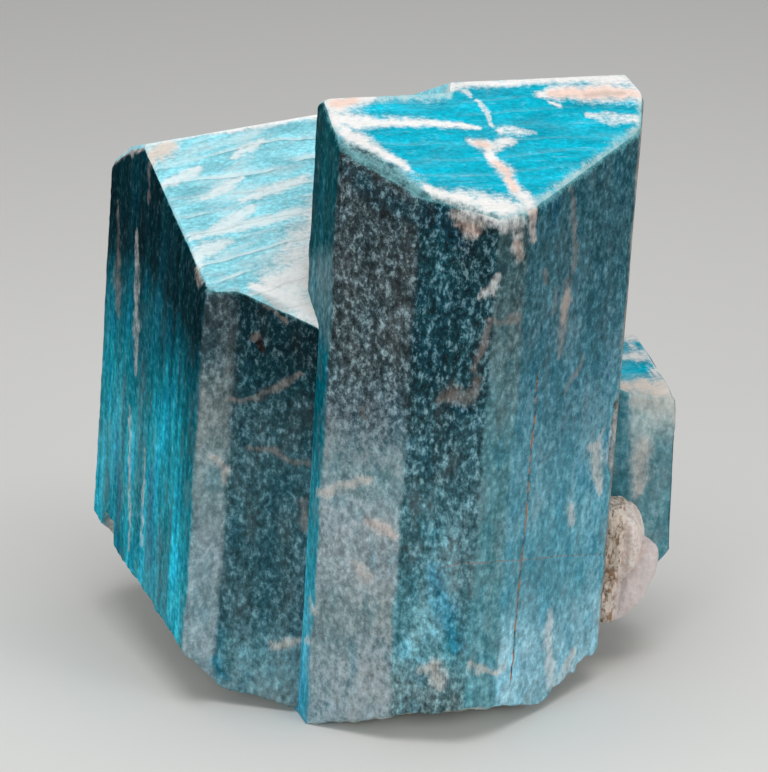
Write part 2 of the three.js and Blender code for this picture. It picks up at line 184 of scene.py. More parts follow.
MAIN = {
    "name": "main_crystal",
    "foot": (-7.6, -15.9), "yaw": 18.0, "lean": 3.34,
    "outline": [
        (0, 0), (6.5, -6.25), (13.5, -9.5), (17.1, -8.6), (31.5, 0.35), (33.5, 5.3),
        (33.6, 15), (31, 19.5), (20.5, 25), (13, 24.5), (4.5, 15), (0, 7.7),
    ],
    "height": 62.1, "slope": 26.0, "fall": 24.0, "pole": 17.0,
    "ridge": [(-1, 6.0), (13.2, 6.0), (13.6, 7.3), (35, 7.3)],
    "breaks": [
        ((0, 0, 0), (0, -0.52)), ((24.9, -3.7, 2.9), (0.33, 0)), ((31.2, 0, 4.9), (3, 0.1)),
        ((14, 19, 0.6), (0.05, 0.4)), ((27, 18, 2.2), (0.5, 0.45)),
    ],
    "notches": [
        ((25.5, -5.6), (1.2, 6), 3.4), ((29.6, -2), (2.2, 4), 5.0),
        ((17, 25.5), (6, 4), 6.0), ((33, 12), (5, 7), 9.5),
    ],
    "bevels": [((32.1, 7.3, 65.66), (-1.2, 0))],
    "seen": {0, 1, 2, 3, 4, 11},
    # the tones of each wall from the ground up, mostly darker towards the top: painted shade as well as
    # colour
    "walls": {
        0: ([(8, "haze"), (12, "mist"), (14, "mist"), (18, "pale haze"), (23.5, "pale haze"),
             (29, "fog"), (35, "smoke"), (42, "dusk"), (50, "char")], 1.0, 0.15, 0.5, 0.3),
        1: ([(0, "lichen"), (5, "moss"), (9, "sea"), (14, "sea"), (20, "lagoon"), (26, "lagoon"),
             (31, "reef"), (37, "cove"), (43, "abyss")], 0.9, 0.6, 0.4, 0.12),
        2: ([(22, "shoal"), (38, "moss"), (50, "lichen")], 0.3, 0.5, 1.0, 0.1),
        3: ([(9, "sky"), (15, "rain"), (23, "rain"), (36, "slate"), (51, "storm")],
            0.27, 0.3, 0.7, 0.12),
        4: ([(0, "stone")], 0.1, 0.3, 0.5, 0.1),
        11: ([(7, "bright teal"), (17, "pool"), (25, "pool"), (33, "side teal"), (42, "side teal"),
              (44.5, "grey teal"), (48.5, "grey teal"), (51.5, "dark teal")], 0.1, 0.6, 0.5, 0.1),
    },
    "other_wall": ([(0, "sky"), (30, "lagoon"), (62, "dark teal")], 0.3, 0.7, 1.0, 0.2),
    "roof": "turquoise", "rim": (1.0, 1.75, 0.75),
    "ledges": (-1.5, 1.7, 0.02, 0.1), "grain_turn": -1.5, "wisps": (2.0, 0.04, "white"),
    "spill": [(0.3, 0.6, 0.7), (2.0, -1.8, 2.0), (4.2, -3.9, 1.7), (6.5, -6.2, 0.8), (10.0, -7.9, 1.0),
              (13.0, -9.3, 0.4)],
    "strokes": {"roof": MAIN_ROOF, "wall": MAIN_WALLS},
    "cracks": [
        [(23.35, 39.8), (23.4, 36.0), (23.2, 31.0), (23.3, 26.0), (23.1, 20.5), (22.9, 14.0), (22.8, 6.6)],
        [(13.8, 20.4), (15.6, 21.0), (17.2, 21.1), (19.7, 20.8), (23.1, 19.9), (29.5, 18.4), (36.6, 16.4)],
    ],
}
# drawn on the left crystal
LEFT_ROOF = [
    ("chalk", [(11.4, -6.6, 1.6), (9.6, -4.4, 2), (7.4, -1.9, 1.4), (5, -0.7, 0.5)]),
    ("chalk", [(7, -0.4, 1), (9.6, -0.6, 2.8), (12.4, 1.6, 3.2), (14.6, 4.6, 2.6), (16, 8.4, 1.2)]),
    ("cream", [(12.6, -3.6, 2.6), (15, 0.6, 2.6), (16.6, 5, 1.6)]),
    ("chalk", [(15.4, -4, 2.2), (16.8, -1, 2.4), (18.2, 2.4, 2), (19, 6.4, 1)]),
    ("cream", [(0, 16, 0.8), (1.2, 16.6, 1.2), (2.8, 17.6, 0.9)]),
    ("chalk", [(0, 18, 0.4), (8, 18.6, 0.35), (22, 20, 0.4)]),
    ("frost", [(-0.2, 12.4, 0.35), (2.6, 13.2, 0.55), (5.2, 14.3, 0.25)]),
    ("frost", [(3.9, 10.4, 0.2), (6.3, 11.4, 0.5), (9, 12.7, 0.2)]),
    ("frost", [(7.7, 9.9, 0.2), (11.6, 10.8, 0.55), (16, 12, 0.4)]),
    ("frost", [(0.2, 3.2, 0.8), (2.1, 4.2, 0.8), (4.9, 5, 0.3)]),
    ("frost", [(3.7, 6.4, 0.5), (5.8, 7.3, 0.85), (8.8, 8.9, 0.3)]),
    ("frost", [(0.5, 5.6, 0.2), (3.4, 6.2, 0.4), (8.8, 7, 0.5), (13.5, 7.8, 0.5)]),
    ("frost", [(8.7, 15.2, 0.2), (10.6, 16, 0.45), (13, 17, 0.3)]),
    ("tan", [(4.6, -1.4, 0.3), (6.2, -2.7, 0.5), (7.6, -3.9, 0.4)]),
]
LEFT_WALLS = [
    ("tan", [(6.4, 44.5, 0.35), (8.6, 43.6, 0.3)]),
    ("white", [(-25.6, 50.3, 0.3), (-21.8, 52.9, 0.35), (-17.4, 54.9, 0.3)]),
    ("tan", [(5.2, 41.2, 0.3), (5.9, 41.2, 0.35)]),
    ("brown", [(5.9, 40.5, 0.4), (6.2, 39.9, 0.35)], 0.7),
    ("tan", [(3.4, 33.9, 0.3), (6, 34.7, 0.35), (9, 36.6, 0.35), (10.6, 38.2, 0.25)]),
    ("tan", [(5.6, 29.3, 0.35), (8.4, 29.3, 0.4), (10.2, 28.5, 0.4), (12.4, 28.4, 0.4)]),
    ("tan", [(11.7, 24.4, 0.6), (12.1, 21.2, 0.5)]),
    ("cream", [(9.4, 8, 0.4), (10.9, 8.4, 0.6), (12.4, 9, 0.4)]),
    ("deep", [(3.6, 5.2, 0.8), (4.6, 3.4, 0.7)]),
    ("cream", [(1.9, 28, 0.3), (3.3, 26.6, 0.5), (3.4, 25.2, 0.3)]),
    ("tan", [(-23.4, 46.6, 0.3), (-22.6, 41.6, 0.5), (-22.4, 38, 1.1), (-22, 34.8, 0.5)]),
    ("faint", [(-17.9, 45.4, 0.4), (-17.2, 40, 0.5), (-16.6, 34.4, 0.6), (-16.2, 30.4, 0.3)]),
    ("tan", [(-15.6, 54, 0.4), (-15.2, 49.6, 0.3)]),
    ("cream", [(-2.3, 47.6, 0.4), (-1.6, 46.4, 0.6)]),
    ("cream", [(-17.2, 26, 0.3), (-16.2, 18.4, 0.35), (-15.4, 11, 0.3)]),
    ("cream", [(-12.7, 23.4, 0.25), (-12.4, 17, 0.35), (-12.1, 12.8, 0.2)]),
    ("deep", [(-10.6, 22, 1), (-10, 12, 1.2)]),
    ("deep", [(-20.4, 22, 0.8), (-18.4, 10, 1)]),
]
# the finish of its narrow grey walls and of its wide teal ones
# tones from the ground up, darker towards the top: painted shade as well as colour
LEFT_GREY = ([(17, "haze"), (24, "mist"), (26.5, "mist"), (31.5, "pewter"), (33.5, "pewter"),
              (41, "dusk"), (45, "char")], 0.4, 0.2, 0.6, 0.2)
LEFT_TEAL = ([(0, "worn teal"), (5, "lagoon"), (10, "reef"), (28, "reef"), (32.5, "cove"),
              (37, "abyss"), (41, "night")], 0.5, 0.4, 0.3, 0.12)
LEFT = {
    "name": "left_crystal",
    "foot": (-20.75, -11.7), "yaw": 24.5, "lean": 4.1,
    "outline": [
        (0, 0), (0.9, -0.7), (3.3, -0.95), (9.9, -6.2), (16, -8), (21.5, 0),
        (21.8, 22), (18, 27.5), (10, 31), (3, 29.5), (0, 25.9),
    ],
    "height": 46.3, "slope": 26.0, "fall": 22.5, "pole": 12.0,
    "ridge": [(-1, 17.6), (23, 20.1)],
    "breaks": [
        ((10.5, -6.7, 1.2), (-0.16, 0.06)), ((3.9, -1.4, 2.2), (-1, 0.17)),
        ((10, 24, 4.5), (-0.2, 0.6)), ((19, 20, 3), (0.5, 0.3)),
    ],
    "notches": [((0, 21.5), (3, 3.4), 12.0)],
    "bevels": [((0, 21.7, 53.1), (0.6, -0.7))],
    "seen": {0, 1, 2, 10},
    # tones from the ground up, darker towards the top: painted shade as well as colour
    "walls": {
        0: LEFT_GREY, 1: LEFT_GREY, 2: LEFT_TEAL, 3: LEFT_TEAL,
        10: ([(22, "shallow"), (29, "flank"), (35.5, "shade teal"), (42, "night")],
             0.1, 0.8, 0.15, 0.06),
    },
    "other_wall": ([(0, "sky"), (26, "lagoon"), (50, "dark teal")], 0.3, 0.8, 0.8, 0.2),
    "roof": "ice", "rim": (0.4, 0.5, 0.5),
    "ledges": (6.5, 2.05, 0.11, 1.0), "grain_turn": 8.0, "wisps": (18.0, 0.62, "frost"),
    "spill": [],
    "strokes": {"roof": LEFT_ROOF, "wall": LEFT_WALLS},
    "cracks": [],
}
# drawn on the rear crystal
REAR_ROOF = [
    ("white", [(-4, 8.4, 0.7), (0.4, 8.3, 0.7)]),
    ("white", [(-4.4, 6.2, 0.2), (-2.2, 5.9, 0.45), (-0.8, 5.7, 0.7), (0.4, 5.2, 0.9)]),
    ("white", [(-1.4, 7.5, 0.15), (-0.9, 7.4, 0.2)]),
    ("white", [(-1.2, 3.5, 0.3), (0.4, 3.6, 0.5)]),
    ("cream", [(-5.2, 2.6, 0.6), (-3, 2, 1), (-0.8, 1.2, 1.6), (0.2, 1.4, 1.4)]),
]
REAR_WALLS = [
    ("cream", [(15.2, 27.9, 1.4), (16.6, 27.3, 2), (18, 27, 2.3)]),
    ("cream", [(15, 23, 0.9), (15, 20, 1.1), (14.8, 17.6, 0.5)]),
]
REAR = {
    "name": "rear_crystal",
    "foot": (30.2, 3.4), "yaw": 28.5, "lean": 1.0,
    "outline": [
        (-16, 9), (-9, 5), (-4.6, 1.6), (0, 0), (0.3, 4), (0.1, 15), (-2.5, 19), (-10, 21.5), (-16, 19.5),
    ],
    "height": 28.1, "slope": 26.0, "fall": 26.0, "pole": -5.0,
    "ridge": [(-20, 8.4), (2, 8.4)],
    "breaks": [((0, 0, 11.1), (1.5, 0.15)), ((-4, 3, 6.5), (0.35, 0.3)), ((-5, 16, 9), (0.1, 0.8))],
    "notches": [],
    "bevels": [],
    "seen": {1, 2},
    "walls": {
        1: ([(0, "rain"), (18, "sea")], 0.1, 0.3, 1.0, 0.2),
        2: ([(12, "sea"), (22, "fog"), (25.5, "rim")], 0.05, 0.1, 0.8, 0.2),
        3: ([(0, "rain"), (14, "sea"), (24, "pale haze")], 0.1, 0.5, 2.0, 0.2),
    },
    "other_wall": ([(0, "sky"), (14, "lagoon"), (28, "dark teal")], 0.3, 0.7, 1.0, 0.2),
    "roof": "turquoise", "rim": (1.0, 0.6, 0.6),
    "ledges": (-2.0, 1.7, 0.02, 0.1), "grain_turn": -2.0, "wisps": (2.0, 0.2, "white"),
    "spill": [],
    "strokes": {"roof": REAR_ROOF, "wall": REAR_WALLS},
    "cracks": [],
}
CRYSTALS = [MAIN, LEFT, REAR]
REAR_ROOF_TONE = "ice"

# the grid of a crystal, in mm
FINE_PITCH = 0.235  # columns of the walls that face the front
COARSE_PITCH = 0.85
CORNER_SQUEEZE = 0.45  # how much closer together the columns stand near a corner
ROW_PITCH = 0.3
RIM_ZONE = 1.3  # the finer rows on both sides of the rim
RIM_ROWS = 9
ROOF_ROWS = 62
BASE_ROWS = 12
RIDGE_HOLD = 1.2  # how far from the ridge the rows of the roof follow it
RIDGE_EASE = 4  # how far to both sides the ridge is averaged for the rest of the rows

# the relief of a crystal, in mm
STEP_PITCH = 1.5  # growth steps along the prism faces
STEP_HEIGHT = 0.08
FLECK_RELIEF = 0.075
EDGE_WEAR = 0.13
RIM_WEAR = 0.36
WEAR_WIDTH = 0.85
BREAK_RELIEF = 0.5
WALL_RIPPLE = 0.03
ROOF_RIPPLE = 0.025
BASE_RIPPLE = 0.25
CORNER_FADE = 9.0  # on the roof, distance from a corner for every mm in from the rim
FAR = 9.0  # a distance at which nothing shows
CORNER_BLEND = 0.55  # the band at a corner where one wall's finish eases into the next
CORNER_SWAY = 0.3
# how far these wander: the edges of what is drawn on the stone, cracks and the heights of tones
STROKE_SWAY = 0.45
CRACK_SWAY = 0.12
TONE_SWAY = 2.5

# the albite lump: (middle, radii, lean towards +X per mm of height, turn in degrees) of its slabs
LUMP_MASSES = [
    ((24.5, 1.4, 11.6), (3.0, 3.0, 5.5), 0.0, -8.0),
    ((26.0, 0.6, 9.2), (1.8, 2.8, 3.7), 0.45, 16.0),
    ((23.9, 0.4, 7.4), (2.4, 2.8, 2.4), 0.1, 5.0),
]
LUMP_GRID = (200, 150)
LUMP_POWER = 2.5
LUMP_FLATNESS = 5.0
RIND_EDGE = 25.1  # x of the edge of the lump's rind at RIND_HEIGHT
RIND_HEIGHT = 11.0
RIND_LEAN = 0.12

# the four layers that inks lie in; faint is white that is nowhere further inside than FAINT
INKS = {"white": 0, "chalk": 0, "frost": 0, "cream": 0, "pink": 0, "faint": 0,
        "tan": 1, "brown": 2, "deep": 3}
FAINT = 0.15


# ---------------------------------------------------------------- numbers that vary smoothly

def lattice(ix, iy, iz, seed):
    """A fixed number from -1 to 1 for every whole-numbered place: its digits mixed by products."""
    h = (ix * 374761393 + iy * 668265263 + iz * 1274126177 + seed * 974634777) & 0xFFFFFFFF
    h = ((h ^ (h >> 13)) * 1103515245) & 0xFFFFFFFF
    return ((h ^ (h >> 16)) & 0xFFFF) / 32767.5 - 1.0


def noise(p, scale, seed=0):
    """Value noise from -1 to 1 at the places p times scale: the eight lattice numbers round each
    place, blended by 3t^2 - 2t^3 of its share of the cell along each axis."""
    q = p * np.asarray(scale, float)
    cell = np.floor(q).astype(np.int64)
    t = q - cell
    t = t * t * (3 - 2 * t)
    total = 0.0
    for corner in np.ndindex(2, 2, 2):
        near = np.prod([t[..., k] if corner[k] else 1 - t[..., k] for k in range(3)], axis=0)
        total = total + near * lattice(*(cell[..., k] + corner[k] for k in range(3)), seed)
    return total


def rough(p, scale, seed=0, octaves=3):
    """Sum of noise at doubled scales and halved heights."""
    scale = np.asarray(scale, float)
    return sum(noise(p, scale * 2 ** k, seed + k) / 2 ** k for k in range(octaves)) / (2 - 2 / 2 ** octaves)


def saw(phase):
    """The profile of a flight of ledges, from -0.4 to 0.5: it sinks evenly over each whole step of
    the phase and climbs back, as 3t^2 - 2t^3, in the last eighth of it."""
    share = phase - np.floor(phase)
    climb = np.clip((share - 0.875) * 8, 0, 1)
    return 0.5 - share + climb * climb * (3 - 2 * climb)


def linear(tone):
    """A tone's red, green and blue as linear light."""
    srgb = np.array([int(TONES[tone][k:k + 2], 16) / 255 for k in (0, 2, 4)])
    return np.where(srgb < 0.04045, srgb / 12.92, ((srgb + 0.055) / 1.055) ** 2.4)


# ---------------------------------------------------------------- the form of a crystal

def ridge_at(form, x):
    """y of the ridge at x, straight between its points."""
    return np.interp(x, *zip(*form["ridge"]))


def eased_ridge(form, x):
    """The ridge averaged over RIDGE_EASE mm to both sides, at every mm."""
    steps = range(-RIDGE_EASE, RIDGE_EASE + 1)
    return sum(ridge_at(form, x + step) for step in steps) / len(steps)


def plane_at(at, rise, x, y):
    """Height of the plane through at that climbs by rise along x and y."""
    return at[2] + rise[0] * (x - at[0]) + rise[1] * (y - at[1])


def roof_at(form, x, y):
    """Height of the roof: the lowest of the front roof, which rises with y, the rear roof, which
    falls back from the ridge, and the bevels."""
    front = form["height"] + y * math.tan(math.radians(form["slope"]))
    ridge = ridge_at(form, x)
    top = form["height"] + ridge * math.tan(math.radians(form["slope"]))
    height = np.minimum(front, top - (y - ridge) * math.tan(math.radians(form["fall"])))
    for at, rise in form["bevels"]:
        height = np.minimum(height, plane_at(at, rise, x, y))
    return height


def ground_at(form, x, y):
    """Height of the level ground in the leaning crystal's own frame."""
    yaw = math.radians(form["yaw"])
    return math.tan(math.radians(form["lean"])) * (x * math.cos(yaw) - y * math.sin(yaw))


def base_at(form, x, y):
    """Height of the underside: the highest of the ground, the break planes and the notches, with
    ragged relief wherever it is clear of the ground."""
    ground = ground_at(form, x, y)
    height = ground.copy()
    for at, rise in form["breaks"]:
        height = np.maximum(height, plane_at(at, rise, x, y))
    for at, size, high in form["notches"]:
        inside = (abs(x - at[0]) < size[0] / 2) & (abs(y - at[1]) < size[1] / 2)
        height = np.where(inside, np.maximum(height, high), height)
    place = np.stack([x, y, 0 * x], -1)
    ragged = BREAK_RELIEF * (rough(place, 0.55, 3) + 0.5 * abs(rough(place, 1.6, 9)))
    clear = np.clip((height - ground) / 0.8, 0, 1)
    return np.maximum(ground, height + clear * ragged)


def wall_spans(form):
    """Where each wall starts and ends, as distances along the outline from corner 0; the last wall
    runs from a negative distance back to 0. And the length of the whole outline."""
    corners = np.array(form["outline"], float)
    lengths = np.linalg.norm(np.roll(corners, -1, 0) - corners, axis=1)
    ends = np.cumsum(lengths)
    starts = ends - lengths
    starts[-1], ends[-1] = -lengths[-1], 0.0
    return starts, ends, lengths.sum()


def columns(form):
    """The columns round the outline, one on every corner and on both ends of the ridge: their x and
    y, distances along the outline and distances to the nearest corner. Between two corners the
    share q of the way is eased to q - squeeze sin(2 pi q) / 2 pi."""
    corners = np.array(form["outline"], float)
    over = corners[:, 1] - ridge_at(form, corners[:, 0])
    starts, ends, _ = wall_spans(form)
    xy, along, near = [], [], []
    for i, (a, b) in enumerate(zip(corners, np.roll(corners, -1, 0))):
        length = ends[i] - starts[i]
        stops = [0.0, 1.0]
        if over[i] * over[(i + 1) % len(corners)] < 0:
            stops.insert(1, over[i] / (over[i] - over[(i + 1) % len(corners)]))
        pitch = FINE_PITCH if i in form["seen"] else COARSE_PITCH
        for low, high in zip(stops, stops[1:]):
            count = max(3, round(length * (high - low) / pitch))
            q = np.arange(count) / count
            q = low + (high - low) * (q - CORNER_SQUEEZE * np.sin(2 * np.pi * q) / (2 * np.pi))
            xy.append(a + (b - a) * q[:, None])
            along.append(starts[i] + length * q)
            near.append(length * np.minimum(q, 1 - q))
    return np.concatenate(xy), np.concatenate(along), np.concatenate(near)


def from_stretch(s, t, a, b):
    """Distance from each place to the straight stretch from a to b, and the share of the stretch at
    which its nearest point lies."""
    ds, dt = b[0] - a[0], b[1] - a[1]
    share = np.clip(((s - a[0]) * ds + (t - a[1]) * dt) / (ds * ds + dt * dt), 0, 1)
    return np.hypot(s - a[0] - share * ds, t - a[1] - share * dt), share


def edge_gap(form, x, y):
    """Distance, seen from above, from each place to the outline."""
    corners = np.array(form["outline"], float)
    return np.min([from_stretch(x, y, a, b)[0] for a, b in zip(corners, np.roll(corners, -1, 0))], axis=0)


def crystal_grid(form):
    """The flat-faced crystal as arrays of rows by columns: places, and for each place its part
    (0 base, 1 wall, 2 roof), distance to the rim and distance to the nearest corner.

    Rows run out along the base from below the pole, straight up the walls and over the roof to the
    pole. On the base a place moves along the straight line to the pole. On the roof the line is
    straight in the frame of x and y - eased ridge(x), and near the ridge it turns, by a bell curve
    of the distance, to follow the ridge itself, so that the ridge lies on a column."""
    xy, along, near = columns(form)
    x, y = xy.T
    pole, pole_y = form["pole"], ridge_at(form, form["pole"])
    bottom, top = base_at(form, x, y), roof_at(form, x, y)
    reach = np.hypot(x - pole, y - pole_y)
    zone = np.minimum(RIM_ZONE, 0.4 * reach)

    out = (np.arange(1, BASE_ROWS) / BASE_ROWS)[:, None]
    base_x, base_y = pole + (x - pole) * out, pole_y + (y - pole_y) * out
    base = np.stack([base_x, base_y, base_at(form, base_x, base_y)], -1)

    up_rows = round((top - bottom).max() / ROW_PITCH)
    up = (np.arange(up_rows) / up_rows)[:, None] * (top - bottom - RIM_ZONE)
    rim = (np.arange(RIM_ROWS) / RIM_ROWS)[:, None] * RIM_ZONE + (top - bottom - RIM_ZONE)
    wall_z = bottom + np.concatenate([up, rim])
    walls = np.stack([x + 0 * wall_z, y + 0 * wall_z, wall_z], -1)

    edge = (np.arange(RIM_ROWS) / RIM_ROWS)[:, None] * (zone / reach)
    rest = zone / reach + (np.arange(ROOF_ROWS) / ROOF_ROWS)[:, None] * (1 - zone / reach)
    share = np.concatenate([edge, rest])
    roof_x = x + (pole - x) * share
    left = 1 - share
    eased, eased_out = eased_ridge(form, x), eased_ridge(form, roof_x)
    near_ridge = np.exp(-((y - ridge_at(form, x)) * left / RIDGE_HOLD) ** 2)
    turned = ridge_at(form, roof_x) - eased_out - left * (ridge_at(form, x) - eased)
    roof_y = eased_out + (y - eased) * left + near_ridge * turned
    roof = np.stack([roof_x, roof_y, roof_at(form, roof_x, roof_y)], -1)

    part = np.concatenate([np.full(rows.shape[:2], k) for k, rows in enumerate((base, walls, roof))])
    far = np.full(base.shape[:2], FAR)
    low = [pole, pole_y, float(base_at(form, np.array([pole]), np.array([pole_y]))[0])]
    high = [pole, pole_y, float(roof_at(form, pole, pole_y))]
    return {
        "places": np.concatenate([base, walls, roof]),
        "part": part,
        "from_rim": np.concatenate([far, top - wall_z, edge_gap(form, roof_x, roof_y)]),
        "corner": np.concatenate([far, near + 0 * wall_z, near + CORNER_FADE * share * reach]),
        "along": np.broadcast_to(along, part.shape),
        "poles": np.array([low, high]),
    }


def closed_faces(rows, count):
    """Triangles of a grid of rows by columns that closes round the columns, with a fan to the low
    pole before its first row and to the high pole after its last. The poles are the last two points."""
    r, c = np.meshgrid(np.arange(rows - 1), np.arange(count), indexing="ij")
    a, b = r * count + c, r * count + (c + 1) % count
    d, e = a + count, b + count
    quads = np.concatenate([np.stack([a, b, e], -1).reshape(-1, 3), np.stack([a, e, d], -1).reshape(-1, 3)])
    c = np.arange(count)
    low = np.stack([np.full(count, rows * count), (c + 1) % count, c], -1)
    last = (rows - 1) * count
    high = np.stack([np.full(count, rows * count + 1), last + c, last + (c + 1) % count], -1)
    return np.concatenate([quads, low, high])


def corner_normals(points, faces):
    """Unit normal at each point: the sum of its triangles' cross products."""
    a, b, c = (points[faces[:, k]] for k in range(3))
    normal = np.cross(b - a, c - a)
    total = np.zeros_like(points)
    for k in range(3):
        np.add.at(total, faces[:, k], normal)
    return total / np.maximum(np.linalg.norm(total, axis=1, keepdims=True), 1e-12)


def stroke_field(s, t, path):
    """How deep inside a stroke each place lies: 1 on its middle line, 0 at its edge and -1 outside,
    as 1 minus the distance to the nearest stretch over the half width there."""
    field = np.full(s.shape, -1.0)
    for a, b in zip(path, path[1:]):
        away, share = from_stretch(s, t, a, b)
        field = np.maximum(field, 1 - away / (a[2] + share * (b[2] - a[2])))
    return field


def crack_offset(s, t, path):
    """Distance to a crack, positive on one side of it and negative on the other."""
    offset = np.full(s.shape, FAR)
    for a, b in zip(path, path[1:]):
        away, _ = from_stretch(s, t, a, b)
        side = np.where((s - a[0]) * (b[1] - a[1]) > (t - a[1]) * (b[0] - a[0]), 1.0, -1.0)
        offset = np.where(away < abs(offset), side * away, offset)
    return offset


# ---------------------------------------------------------------- relief and finish of a crystal

def wall_shares(form, along, points):
    """How much of each wall every place belongs to: 1 on the wall itself, easing into the next one
    over a band at their corner that strays to both sides of it. The shares sum to 1."""
    starts, ends, around = wall_spans(form)
    along = along + CORNER_SWAY * rough(points, (0.8, 0.8, 0.5), 75)
    shares = []
    for start, end in zip(starts, ends):
        turns = [along + k * around for k in (-1, 0, 1)]
        inside = [np.clip(0.5 + np.minimum(s - start, end - s) / CORNER_BLEND, 0, 1) for s in turns]
        shares.append(np.max(inside, axis=0))
    shares = np.stack(shares, -1)
    return shares / shares.sum(-1, keepdims=True)


def walls_of(form):
    """The finish of every wall, in the order of the outline."""
    return [form["walls"].get(i, form["other_wall"]) for i in range(len(form["outline"]))]


def tone_up(stops, z):
    """The tones of a wall at heights z, blended between its stops."""
    heights, names = zip(*stops)
    tones = np.array([linear(name) for name in names])
    return np.stack([np.interp(z, heights, tones[:, k]) for k in range(3)], -1)


def describe(form, grid):
    """What the relief and the finish are made from: for every place its part, its wall's finish,
    which spills onto the roof in places, the phase of its ledges or growth steps, and its
    coordinates for the strokes, which wander."""
    points, part = grid["places"], grid["part"]
    x, y, z = (points[..., k] for k in range(3))
    wall, roof = part == 1, part == 2
    shares = wall_shares(form, grid["along"], points)
    numbers = shares @ np.array([w[1:] for w in walls_of(form)], float)
    flecks, grain, veil, cloud = (numbers[..., k] for k in range(4))

    turn, pitch, _, _ = form["ledges"]
    across = y * math.cos(math.radians(turn)) - x * math.sin(math.radians(turn))
    ledges = across / pitch + 0.5 * noise(points, (0.08, 0.25, 0.25), 31) + 0.08 * noise(points, 0.6, 32)
    phase = np.where(roof, ledges, grid["along"] / STEP_PITCH + 0.5 * noise(points, 0.09, 5))

    s, t = np.where(wall, grid["along"], x), np.where(wall, z, y)
    loose_s = s + STROKE_SWAY * rough(points, 0.9, 61)
    loose_t = t + STROKE_SWAY * np.where(wall, 1.6, 0.7) * rough(points, 0.7, 65)
    spill = 2 * stroke_field(loose_s, loose_t, form["spill"]) + 0.5 * rough(points, 1.5, 67)
    spill = np.where(roof, np.clip(spill, 0, 1), 0.0)
    return {
        "points": points, "wall": wall, "roof": roof, "base": part == 0, "shares": shares,
        "flecks": flecks * (wall + spill), "grain": grain * (wall + spill), "veil": veil,
        "cloud": cloud * (wall + spill), "roof_look": roof - spill,
        "phase": phase, "from_rim": grid["from_rim"], "corner": grid["corner"], "s": s, "t": t,
        "loose_s": loose_s, "loose_t": loose_t,
    }


def crystal_relief(form, d):
    """Height of the fine relief over the flat faces: growth steps and flecks on the walls, ledges
    on the roofs, ragged breaks below, less the wear of edges and rim and the sunk strokes."""
    points = d["points"]
    on_wall = STEP_HEIGHT * d["grain"] * saw(d["phase"])
    on_wall += FLECK_RELIEF * d["flecks"] * rough(points, (1.9, 1.9, 1.1), 21, 2)
    on_wall += WALL_RIPPLE * noise(points, (0.7, 0.7, 0.2), 23)
    strength = np.clip(0.5 + noise(points, (0.09, 0.35, 0.35), 33), 0, 1)
    inner = np.clip((d["from_rim"] - 0.4) / 0.8, 0, 1)
    on_roof = form["ledges"][2] * strength * inner * saw(d["phase"])
    on_roof += ROOF_RIPPLE * rough(points, (0.6, 1.6, 1.6), 35)
    on_base = BASE_RIPPLE * rough(points, 0.9, 41)
    relief = np.where(d["wall"], on_wall, np.where(d["roof"], on_roof, on_base))

    nick = np.clip(noise(points, (0.6, 0.6, 0.35), 51) + 0.3 * noise(points, 1.7, 52), -1, 1)
    edge = np.clip(1 - d["corner"] / WEAR_WIDTH, 0, 1) ** 2
    rim = np.clip(1 - d["from_rim"] / WEAR_WIDTH, 0, 1) ** 2
    relief -= EDGE_WEAR * edge * (1 + 0.9 * nick) + RIM_WEAR * rim * (1 + 0.6 * nick)

    for on, strokes in form["strokes"].items():
        for path, depth in (stroke[1:] for stroke in strokes if len(stroke) > 2):
            field = np.clip(stroke_field(d["loose_s"], d["loose_t"], path) * 1.6, 0, 1)
            relief -= np.where(d[on], depth * field, 0.0)
    return relief


def crystal_tints(form, d):
    """The stone's colour at each place: its wall's tones by height, which hold painted light and shade,
    mostly paler at the foot and darker towards the top, or the tone of its roof or its broken base;
    and its share of cream clouds."""
    x, y, z = (d["points"][..., k] for k in range(3))
    height = z + TONE_SWAY * noise(d["points"], 0.12, 73)
    tint = np.zeros(d["points"].shape)
    for i, (stops, *_) in enumerate(walls_of(form)):
        tint += d["shares"][..., i, None] * tone_up(stops, height)
    behind = (y > ridge_at(form, x))[..., None]
    roof = np.where(behind, linear(REAR_ROOF_TONE), linear(form["roof"]))
    tint += d["roof_look"][..., None] * (roof - tint)
    tint[d["base"]] = linear("broken")
    return np.concatenate([tint, d["cloud"][..., None]], -1)


def crystal_rim(form, d):
    """Share of the pale rim at each place: a band inside the roof's edges and along its ridge, and
    the milky zone under the rim, both of uneven width."""
    share, left, right = form["rim"]
    x, y = d["points"][..., 0], d["points"][..., 1]
    width = np.interp(x, [form["pole"] - 3, form["pole"] + 2], [left, right])
    uneven = 1 + 0.45 * rough(d["points"], 0.45, 71)
    inside = np.minimum(d["from_rim"], 2.2 * abs(y - ridge_at(form, x)))
    on_roof = share * np.exp(-(inside / (width * uneven)) ** 2)
    below = np.exp(-(d["from_rim"] / (np.maximum(d["veil"], 0.1) * uneven)) ** 1.4)
    return np.where(d["roof"], on_roof, np.where(d["wall"], below, 0.0))


def crystal_inks(form, d):
    """How far inside the white, tan, rust and deep strokes each place lies, from 0 to 1 with 0.5 at
    an edge, and the colours that the pale strokes have there."""
    inks = np.full((*d["s"].shape, 4), -1.0)
    pale = np.broadcast_to(linear("white"), d["points"].shape).copy()
    for on, strokes in form["strokes"].items():
        for ink, path, *_ in strokes:
            field = np.where(d[on], stroke_field(d["loose_s"], d["loose_t"], path), -1.0)
            layer = INKS[ink]
            if ink == "faint":
                field = np.minimum(field, FAINT)
            elif layer == 0:
                pale += np.clip(0.5 + field, 0, 1)[..., None] * (linear(ink) - pale)
            inks[..., layer] = np.maximum(inks[..., layer], field)
    return 0.5 + 0.5 * inks, pale


